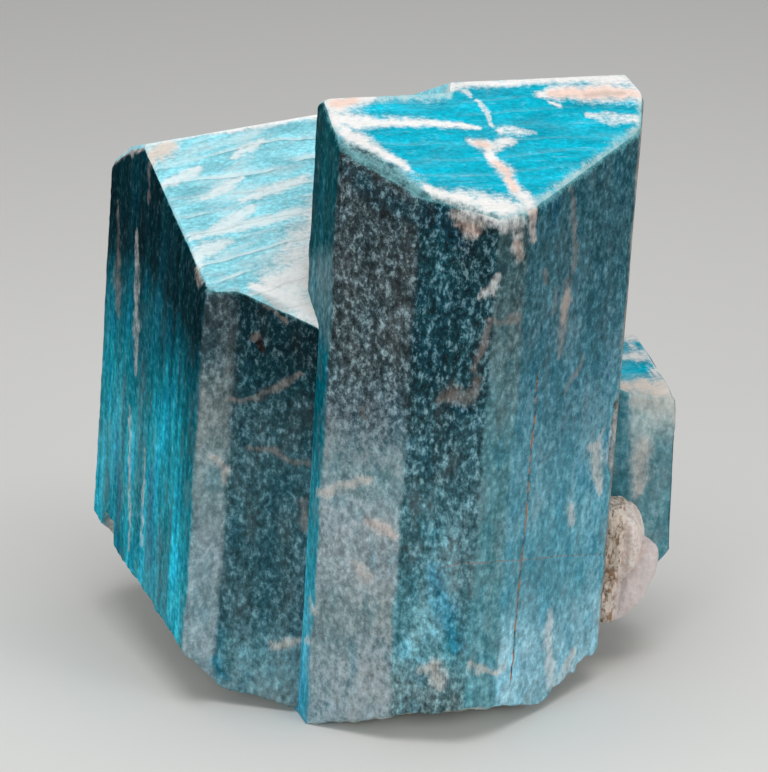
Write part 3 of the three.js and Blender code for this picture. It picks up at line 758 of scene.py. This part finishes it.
def crystal_cracks(form, d):
    """Offsets to the upright and to the level crack, in mm, and FAR where there is none."""
    offsets = np.full((*d["s"].shape, 2), FAR)
    for k, path in enumerate(form["cracks"]):
        stray = CRACK_SWAY * noise(d["points"], 1.1, 91 + k)
        offsets[..., k] = np.where(d["wall"], crack_offset(d["s"], d["t"], path) + stray, FAR)
    return offsets


def frame_matrix(form):
    """From a crystal's own frame to the ground frame, in mm."""
    lean = Matrix.Rotation(math.radians(form["lean"]), 4, "Y")
    yaw = Matrix.Rotation(math.radians(form["yaw"]), 4, "Z")
    return Matrix.Translation((*form["foot"], 0)) @ lean @ yaw


def build_crystal(form):
    """One crystal as a closed mesh on the ground frame, with its finish as attributes. The relief
    stands along the faces' normals, which turn into the rim's own over the zone beside it."""
    grid = crystal_grid(form)
    shape = grid["part"].shape
    flat = np.concatenate([grid["places"].reshape(-1, 3), grid["poles"]])
    faces = closed_faces(*shape)
    normals = corner_normals(flat, faces)[:-2].reshape(*shape, 3)
    rim_row = int((grid["part"][:, 0] < 2).sum())
    turn = np.clip(1 - grid["from_rim"] / RIM_ZONE, 0, 1)[..., None]
    normals = normals + turn * (normals[rim_row] - normals)
    normals /= np.linalg.norm(normals, axis=-1, keepdims=True)
    d = describe(form, grid)
    places = grid["places"] + normals * crystal_relief(form, d)[..., None]

    points = np.concatenate([places.reshape(-1, 3), grid["poles"]])
    matrix = np.array(frame_matrix(form))
    points = points @ matrix[:3, :3].T + matrix[:3, 3]
    points[:, 2] = np.maximum(points[:, 2], 0)
    piece = mesh_piece(form["name"], points * MM, faces)
    inks, pale = crystal_inks(form, d)
    layers = {
        "tint": crystal_tints(form, d),
        "finish": np.stack([d["flecks"], d["grain"], d["roof_look"], crystal_rim(form, d)], -1),
        "inks": inks,
        "pale": np.concatenate([pale, d["phase"][..., None]], -1),
        "cracks": crystal_cracks(form, d),
    }
    for name, values in layers.items():
        rows = values.reshape(-1, values.shape[-1])
        give(piece, name, np.concatenate([rows, rows[:1], rows[-1:]]))
    return piece


# ---------------------------------------------------------------- meshes

def mesh_piece(name, points, faces):
    """A smooth-shaded mesh object at the origin."""
    mesh = bpy.data.meshes.new(name)
    mesh.from_pydata(points.tolist(), [], faces.tolist())
    mesh.shade_smooth()
    piece = bpy.data.objects.new(name, mesh)
    bpy.context.scene.collection.objects.link(piece)
    return piece


def give(piece, name, rows):
    """A colour attribute on a piece's points, from a row of up to four numbers for each."""
    rows = np.pad(rows, ((0, 0), (0, 4 - rows.shape[1])), constant_values=1.0)
    layer = piece.data.color_attributes.new(name, "FLOAT_COLOR", "POINT")
    layer.data.foreach_set("color", rows.astype(np.float32).ravel())


def build_lump():
    """The albite lump: slabs with flat fronts, each a closed grid of angles on the surface where the
    power LUMP_FLATNESS of the depth y and of the plan, the LUMP_POWER mean of x and z, sum to 1.
    Upright folds crease them, and the rind, on the side that grew against the main crystal, is
    ragged and set off by a groove. Attribute crust: share of the rind, and 1 on the lower slabs."""
    points, faces, crust, start = [], [], [], 0
    around, up = LUMP_GRID
    theta = (np.arange(1, up) / up * np.pi)[:, None]
    phi = (np.arange(around) / around * 2 * np.pi)[None, :]
    way = np.stack([np.sin(theta) * np.cos(phi), np.sin(theta) * np.sin(phi), -np.cos(theta) + 0 * phi], -1)
    ball = np.concatenate([way.reshape(-1, 3), [(0, 0, -1), (0, 0, 1)]])
    plan = (abs(ball[:, [0, 2]]) ** LUMP_POWER).sum(1) ** (LUMP_FLATNESS / LUMP_POWER)
    reach = (plan + abs(ball[:, 1]) ** LUMP_FLATNESS) ** (1 / LUMP_FLATNESS)
    for index, (at, radii, lean, turn) in enumerate(LUMP_MASSES):
        surface = ball / reach[:, None] * radii
        surface[:, 0] += lean * surface[:, 2]
        spin = np.array(Matrix.Rotation(math.radians(turn), 3, "Z"))
        surface, outward = surface @ spin.T + at, ball @ spin.T
        edge = RIND_EDGE + RIND_LEAN * (surface[:, 2] - RIND_HEIGHT) - surface[:, 0]
        edge += 0.5 * noise(surface, 0.5, 97)
        rind = np.clip(edge / 0.5, 0, 1)
        ragged = rough(surface, (1.5, 1.5, 1.2), 95, 4)
        swell = (0.25 + 0.15 * index) * rough(surface, (0.5, 0.5, 0.35), 80 + index, 3)
        swell += 0.2 * abs(noise(surface, (0.5, 0.5, 0.1), 90)) - 0.1 - 0.2 * np.exp(-(edge / 0.4) ** 2)
        swell += (0.12 + 0.16 * rind) * ragged + 0.04 * rough(surface, (3, 3, 1.2), 99, 2)
        points.append(surface + outward * swell[:, None])
        crust.append(np.stack([rind, np.full(rind.shape, float(index > 0))], -1))
        faces.append(closed_faces(up - 1, around) + start)
        start += len(ball)
    piece = mesh_piece("albite_slabs", np.concatenate(points) * MM, np.concatenate(faces))
    give(piece, "crust", np.concatenate(crust))
    return piece


# ---------------------------------------------------------------- shader maths

def operation(kind, swapped=False):
    """A method that adds a Math node for its socket and the other operand, swapped where it is the
    reflected form of the operator."""
    def method(self, *others):
        values = (*others, self) if swapped else (self, *others)
        return self.recipe.node("ShaderNodeMath", {"operation": kind}, dict(enumerate(values)))
    return method


class Socket:
    """A shader value that arithmetic is written on: each operation adds a Math node."""

    def __init__(self, recipe, link):
        self.recipe = recipe
        self.link = link

    __add__ = __radd__ = operation("ADD")
    __sub__ = operation("SUBTRACT")
    __rsub__ = operation("SUBTRACT", swapped=True)
    __mul__ = __rmul__ = operation("MULTIPLY")
    __rpow__ = operation("POWER", swapped=True)
    __abs__ = operation("ABSOLUTE")
    fract = operation("FRACT")
    largest = operation("MAXIMUM")
    smallest = operation("MINIMUM")


class Recipe:
    """One material and the nodes that make it."""

    def __init__(self, name):
        self.material = bpy.data.materials.new(name)
        self.material.use_nodes = True
        self.tree = self.material.node_tree
        self.tree.nodes.clear()

    def node(self, kind, settings, sockets, out=0):
        """A node: its settings are set first, then the values or links of its sockets."""
        made = self.tree.nodes.new(kind)
        for key, value in settings.items():
            setattr(made, key, value)
        for key, value in sockets.items():
            if isinstance(value, Socket):
                self.tree.links.new(value.link, made.inputs[key])
            else:
                made.inputs[key].default_value = value
        return Socket(self, made.outputs[out] if made.outputs else None)

    def attribute(self, name, out="Color"):
        return self.node("ShaderNodeAttribute", {"attribute_name": name}, {}, out)

    def channels(self, colour):
        node = self.node("ShaderNodeSeparateColor", {}, {"Color": colour})
        outputs = node.link.node.outputs
        return [Socket(self, outputs[k]) for k in range(3)]

    def turned(self, place, degrees):
        """Places in a frame turned about z."""
        return self.node("ShaderNodeMapping", {"vector_type": "TEXTURE"}, {
            "Vector": place, "Rotation": (0, 0, math.radians(degrees))})

    def noise(self, place, scale, detail=2.0, roughness=0.5, curl=0.0):
        """Noise from -0.5 to 0.5 on a place stretched by scale, per mm along each axis."""
        stretched = self.node("ShaderNodeVectorMath", {"operation": "MULTIPLY"}, {0: place, 1: scale})
        return self.node("ShaderNodeTexNoise", {}, {
            "Vector": stretched, "Scale": 1.0, "Detail": detail, "Roughness": roughness,
            "Distortion": curl}) - 0.5

    def soft(self, value, low, high):
        """0 below low, 1 above high and smooth between them."""
        return self.node("ShaderNodeMapRange", {"interpolation_type": "SMOOTHSTEP"}, {
            "Value": value, "From Min": low, "From Max": high})

    def mix(self, share, first, second, blend="MIX"):
        """The first colour turning into the second by share."""
        return self.node("ShaderNodeMix", {"data_type": "RGBA", "blend_type": blend}, {
            0: share, 6: first, 7: second}, 2)

    def grey(self, value):
        """A value as an even grey, to multiply a colour by."""
        return self.node("ShaderNodeCombineColor", {}, {0: value, 1: value, 2: value})

    def finish(self, colour, roughness, height, distance, constants):
        """The surface: colour, roughness and a bump of the given height, distance in mm."""
        bump = self.node("ShaderNodeBump", {}, {"Height": height, "Strength": 1.0, "Distance": distance * MM})
        surface = self.node("ShaderNodeBsdfPrincipled", {}, {
            "Base Color": colour, "Roughness": roughness, "Normal": bump, **constants})
        self.node("ShaderNodeOutputMaterial", {}, {"Surface": surface})
        return self.material


def rgba(tone):
    return (*linear(tone), 1.0)


def amazonite(form):
    """The stone of one crystal: its tints, with their painted light and shade by height, broken by growth
    grain, flecks painted as glints and milky patches, with its pale rims, veins and stains over them,
    and painted highlights and shadows on the edges of its roof ledges."""
    r = Recipe(form["name"] + "_stone")
    matrix = frame_matrix(form)
    place = r.node("ShaderNodeMapping", {"vector_type": "TEXTURE"}, {
        "Vector": r.node("ShaderNodeTexCoord", {}, {}, "Object"),
        "Location": Vector(matrix.translation) * MM,
        "Rotation": matrix.to_euler(), "Scale": (MM, MM, MM)})
    flecks, grain, roof = r.channels(r.attribute("finish"))
    rim = r.attribute("finish", "Alpha")
    white, tan, rust = r.channels(r.attribute("inks"))
    deep = r.attribute("inks", "Alpha")
    upright, level, _ = r.channels(r.attribute("cracks"))
    ledge = r.attribute("pale", "Alpha").fract()
    wall = 1 - roof

    # the walls: broad patches, mottling, upright grain and flecks that crowd together, the flecks painted as
    # glints that brighten the tint
    patch = r.noise(place, (0.16, 0.16, 0.07), 3.0)
    broad = r.noise(place, (0.4, 0.4, 0.05), 3.0, 0.55)
    streaks = r.noise(place, (1.1, 1.1, 0.09), 3.0, 0.55)
    mottle = r.noise(place, (0.9, 0.9, 0.65), 3.0, 0.6)
    clump = r.noise(place, (1.8, 1.8, 1.3), 2.0, 0.6)
    lines = r.noise(place, (3.8, 3.8, 0.4), 3.0, 0.65)
    grit = r.noise(place, (3.3, 3.3, 2.7), 4.0, 0.75, 1.1)
    dashes = r.noise(place, (4.6, 4.6, 1.4), 3.0, 0.7)
    hue = r.noise(place, (0.5, 0.5, 0.22)) + grain * broad
    tint = r.attribute("tint")
    light = r.node("ShaderNodeRGBToBW", {}, {"Color": tint})
    fleck = grit + grain * (dashes - grit) + 0.8 * clump + 0.4 * mottle
    crowd = flecks * (1 - (0.92 - 0.6 * grain) * r.soft(light, 0.04, 0.28))
    stops = 1.5 * patch + 1.7 * mottle + 1.4 * clump + (1.6 - 1.2 * grain) * grit
    stops = stops + 0.8 * grain * lines + grain * grain * (3.0 * streaks + 7.5 * broad)
    # the crowded flecks brighten the tint: painted glints
    stops = stops + 6.8 * crowd * fleck
    # the roofs: fibres, scratches, ledges with painted highlights and shadows on their edges and cloudy bands
    # along the ridge, and wisps across them
    along = r.turned(place, form["grain_turn"])
    fibre = r.noise(along, (1.8, 3.6, 3.6), 3.0, 0.65)
    scratch = r.soft(r.noise(along, (0.5, 5.0, 5.0), 1.0), 0.16, 0.3)
    bands = r.noise(along, (0.15, 0.6, 0.6), 4.0, 0.6)
    turn, share, wisp_tone = form["wisps"]
    wisps = r.noise(r.turned(place, turn), (0.15, 0.62, 0.62), 4.0, 0.6)
    shown = r.soft(r.noise(along, (0.1, 0.4, 0.4)), -0.1, 0.06) * form["ledges"][3]
    shown = shown * r.soft(roof, 0.9, 1.0)
    # painted shadow on the riser of each ledge and a painted highlight along the edge above it
    shaded_riser = r.soft(ledge, 0.88, 0.98) * shown
    painted_ledge_highlight = r.soft(ledge, 0.3, 0.02) * shown
    roof_stops = 2.1 * fibre + 1.9 * bands - 0.45 * shaded_riser
    stops = wall * stops + roof * roof_stops

    colour = r.mix(1.0, tint, r.grey(2 ** stops), "MULTIPLY")
    varied = (0.25 + 0.6 * grain) * wall
    rich = r.soft(hue, 0.02, 0.16) * 0.7 * varied + r.soft(bands, 0.02, -0.12) * 0.1 * roof
    rich = rich.largest(r.soft(deep + 0.8 * lines + 0.6 * mottle, 0.35, 0.95) * 0.85)
    colour = r.mix(rich, colour, rgba("deep filter"), "MULTIPLY")
    clouds = r.attribute("tint", "Alpha")
    milk = r.soft(hue, -0.04, -0.16) * varied * (2.0 * clouds).smallest(0.4)
    colour = r.mix(milk, colour, r.grey(1.4 * light))
    cloud = r.soft(patch + 0.6 * fleck, -0.04, 0.16) * clouds
    colour = r.mix(cloud * r.soft(light, 0.0, 0.28), colour, rgba("dust"))
    # painted glints and sparkles: flecks and fine points mixed towards a pale glint tone
    painted_glints = r.soft(fleck, 0.0, 0.3) * crowd * wall
    painted_sparkles = r.soft(r.noise(place, (4.3, 4.7, 3.4), 2.0, 0.7), 0.14, 0.26) * (0.1 + 0.6 * flecks) * wall
    colour = r.mix((painted_glints * 0.45).largest(painted_sparkles * 0.6), colour, rgba("painted glint"))
    drawn = scratch * 0.13 + painted_ledge_highlight * 0.6 + r.soft(wisps, -0.06, 0.26) * share
    colour = r.mix((roof * drawn).smallest(0.85), colour, rgba(wisp_tone))
    pale_rim = r.soft(rim + 1.3 * grit + 0.9 * mottle, 0.15, 0.95)
    pale_rim = pale_rim * (0.6 + 0.2 * roof + 2.0 * grit + 1.6 * mottle)
    colour = r.mix(pale_rim, colour, r.mix(roof, rgba("veil"), rgba("rim")))

    # what is drawn on them, feathered on the roofs and smeared on the walls
    smear = 0.9 + 1.2 * dashes + 1.6 * mottle
    ragged = 0.8 * (roof * fibre + wall * dashes) + 0.9 * mottle
    drawn = r.soft(white + ragged, 0.14, 0.9) * (0.96 * roof + wall * (0.5 * smear + 0.3 * rim))
    dappled = r.grey((2 ** (0.25 * stops)).smallest(1.06))
    colour = r.mix(drawn.smallest(1.0), colour, r.mix(1.0, r.attribute("pale"), dappled, "MULTIPLY"))
    drawn = r.soft(tan + ragged, 0.22, 1.0) * (0.35 * roof + 0.5 * wall * smear)
    colour = r.mix(drawn, colour, rgba("tan"))
    colour = r.mix(r.soft(rust + ragged, 0.4, 0.8) * 0.8, colour, rgba("rust"))
    crack = r.soft(abs(upright), 0.22, 0.05).largest(r.soft(abs(level), 0.12, 0.02) * 0.45)
    crack = crack * (0.5 + 0.45 * r.soft(mottle, -0.08, 0.06))
    stain = r.mix(r.soft(clump, -0.06, 0.02), rgba("gloom"), rgba("ochre"))
    colour = r.mix(crack, colour, stain)

    bumps = 0.5 + fleck
    height = wall * (0.9 * bumps * bumps * flecks + (0.25 + 0.5 * lines) * grain + 0.35 * grit - 0.075)
    height = height + 0.5 * roof * fibre - 0.6 * crack - 0.4 * shaded_riser
    roughness = 0.5 + 0.25 * patch - 0.12 * painted_glints
    gloss = 0.12 * roof + 0.25 * flecks * wall
    return r.finish(colour, roughness, height, 0.13, {
        "Specular IOR Level": 0.0, "Coat Weight": gloss, "Coat Roughness": 0.3, "Coat IOR": 1.5})


def albite():
    """The lump: pinkish white feldspar with painted shade on its lower slabs, its rind beside the main
    crystal golden brown in its clefts.
    """
    r = Recipe("albite_stone")
    place = r.node("ShaderNodeVectorMath", {"operation": "SCALE"}, {
        0: r.node("ShaderNodeTexCoord", {}, {}, "Object"), "Scale": 1 / MM})
    rind, lower, _ = r.channels(r.attribute("crust"))
    folds = r.noise(place, (0.9, 0.9, 0.2), 3.0, 0.55)
    cloud = r.noise(place, (0.9, 0.9, 0.7), 4.0, 0.65)
    grit = r.noise(place, (3.0, 3.0, 2.4), 4.0, 0.75)
    clefts = r.noise(place, (2.8, 2.8, 1.1), 4.0, 0.7, 0.5)
    colour = r.mix(r.soft(folds + 1.2 * grit, -0.2, 0.16), rgba("fold shade"), rgba("fold white"))
    colour = r.mix(r.soft(cloud, 0.0, 0.16) * 0.4, colour, rgba("blush"))
    # the lower slabs greyer: painted shade
    colour = r.mix(lower * 0.6, colour, rgba("painted slab shade"))
    colour = r.mix(rind * 0.8, colour, rgba("rind"))
    cleft = r.soft(clefts + 0.5 * cloud, 0.0, 0.18)
    colour = r.mix(rind * cleft * 0.85, colour, rgba("cleft"))
    height = grit - 0.8 * rind * cleft
    return r.finish(colour, 0.7 + 0.2 * grit, height, 0.2, {"Specular IOR Level": 0.1, "IOR": 1.53})


def plain(name, tone, roughness):
    """A matt surface with a faint unevenness, for the floor."""
    r = Recipe(name)
    place = r.node("ShaderNodeTexCoord", {}, {}, "Object")
    cloud = r.node("ShaderNodeTexNoise", {}, {"Vector": place, "Scale": 3.0, "Detail": 2.0})
    return r.finish(rgba(tone), roughness + 0.05 * cloud, cloud, 0.01, {})


# ---------------------------------------------------------------- stage

def aim(thing, target):
    """Turns a camera or light so that it looks at the target."""
    way = Vector(target) * MM - thing.location
    thing.rotation_euler = way.to_track_quat("-Z", "Y").to_euler()


def build_camera():
    """The camera: a long lens, looking along +Y and down by its elevation."""
    data = bpy.data.cameras.new("camera")
    data.sensor_fit = "HORIZONTAL"
    data.sensor_width, data.lens = SENSOR, LENS
    data.clip_start, data.clip_end = 0.02, 20.0
    camera = bpy.data.objects.new("camera", data)
    fall = math.radians(CAMERA_ELEVATION)
    back = Vector((0, -math.cos(fall), math.sin(fall))) * CAMERA_DISTANCE
    camera.location = (Vector(CAMERA_TARGET) + back) * MM
    camera.rotation_euler = (math.radians(90) - fall, 0, 0)
    bpy.context.scene.collection.objects.link(camera)
    bpy.context.scene.camera = camera


def build_lights():
    """Soft boxes round the specimen and an even pale room."""
    for name, (place, width, watts) in SOFTBOXES.items():
        data = bpy.data.lights.new(name, "AREA")
        data.shape, data.size, data.energy = "SQUARE", width * MM, watts
        light = bpy.data.objects.new(name, data)
        light.location = Vector(place) * MM
        bpy.context.scene.collection.objects.link(light)
        aim(light, SOFTBOX_AIM)
    world = bpy.data.worlds.new("room")
    world.use_nodes = True
    world.node_tree.nodes["Background"].inputs["Color"].default_value = rgba("room")
    world.node_tree.nodes["Background"].inputs["Strength"].default_value = ROOM_LIGHT
    bpy.context.scene.world = world
    bpy.context.scene.view_settings.view_transform = "Standard"


def build_floor():
    """A level floor under the specimen."""
    half = FLOOR_SIZE / 2 * MM
    corners = np.array([(-half, -half, 0), (half, -half, 0), (half, half, 0), (-half, half, 0)])
    floor = mesh_piece("floor", corners, np.array([(0, 1, 2), (0, 2, 3)]))
    floor.data.materials.append(plain("floor_paper", "floor paper", 0.7))


build_camera()
build_lights()
build_floor()
for form in CRYSTALS:
    crystal = build_crystal(form)
    crystal.data.materials.append(amazonite(form))
    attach(crystal, "root")
    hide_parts("amazonite_crystals")
lump = build_lump()
lump.data.materials.append(albite())
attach(lump, "root")
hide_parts("albite_lump")
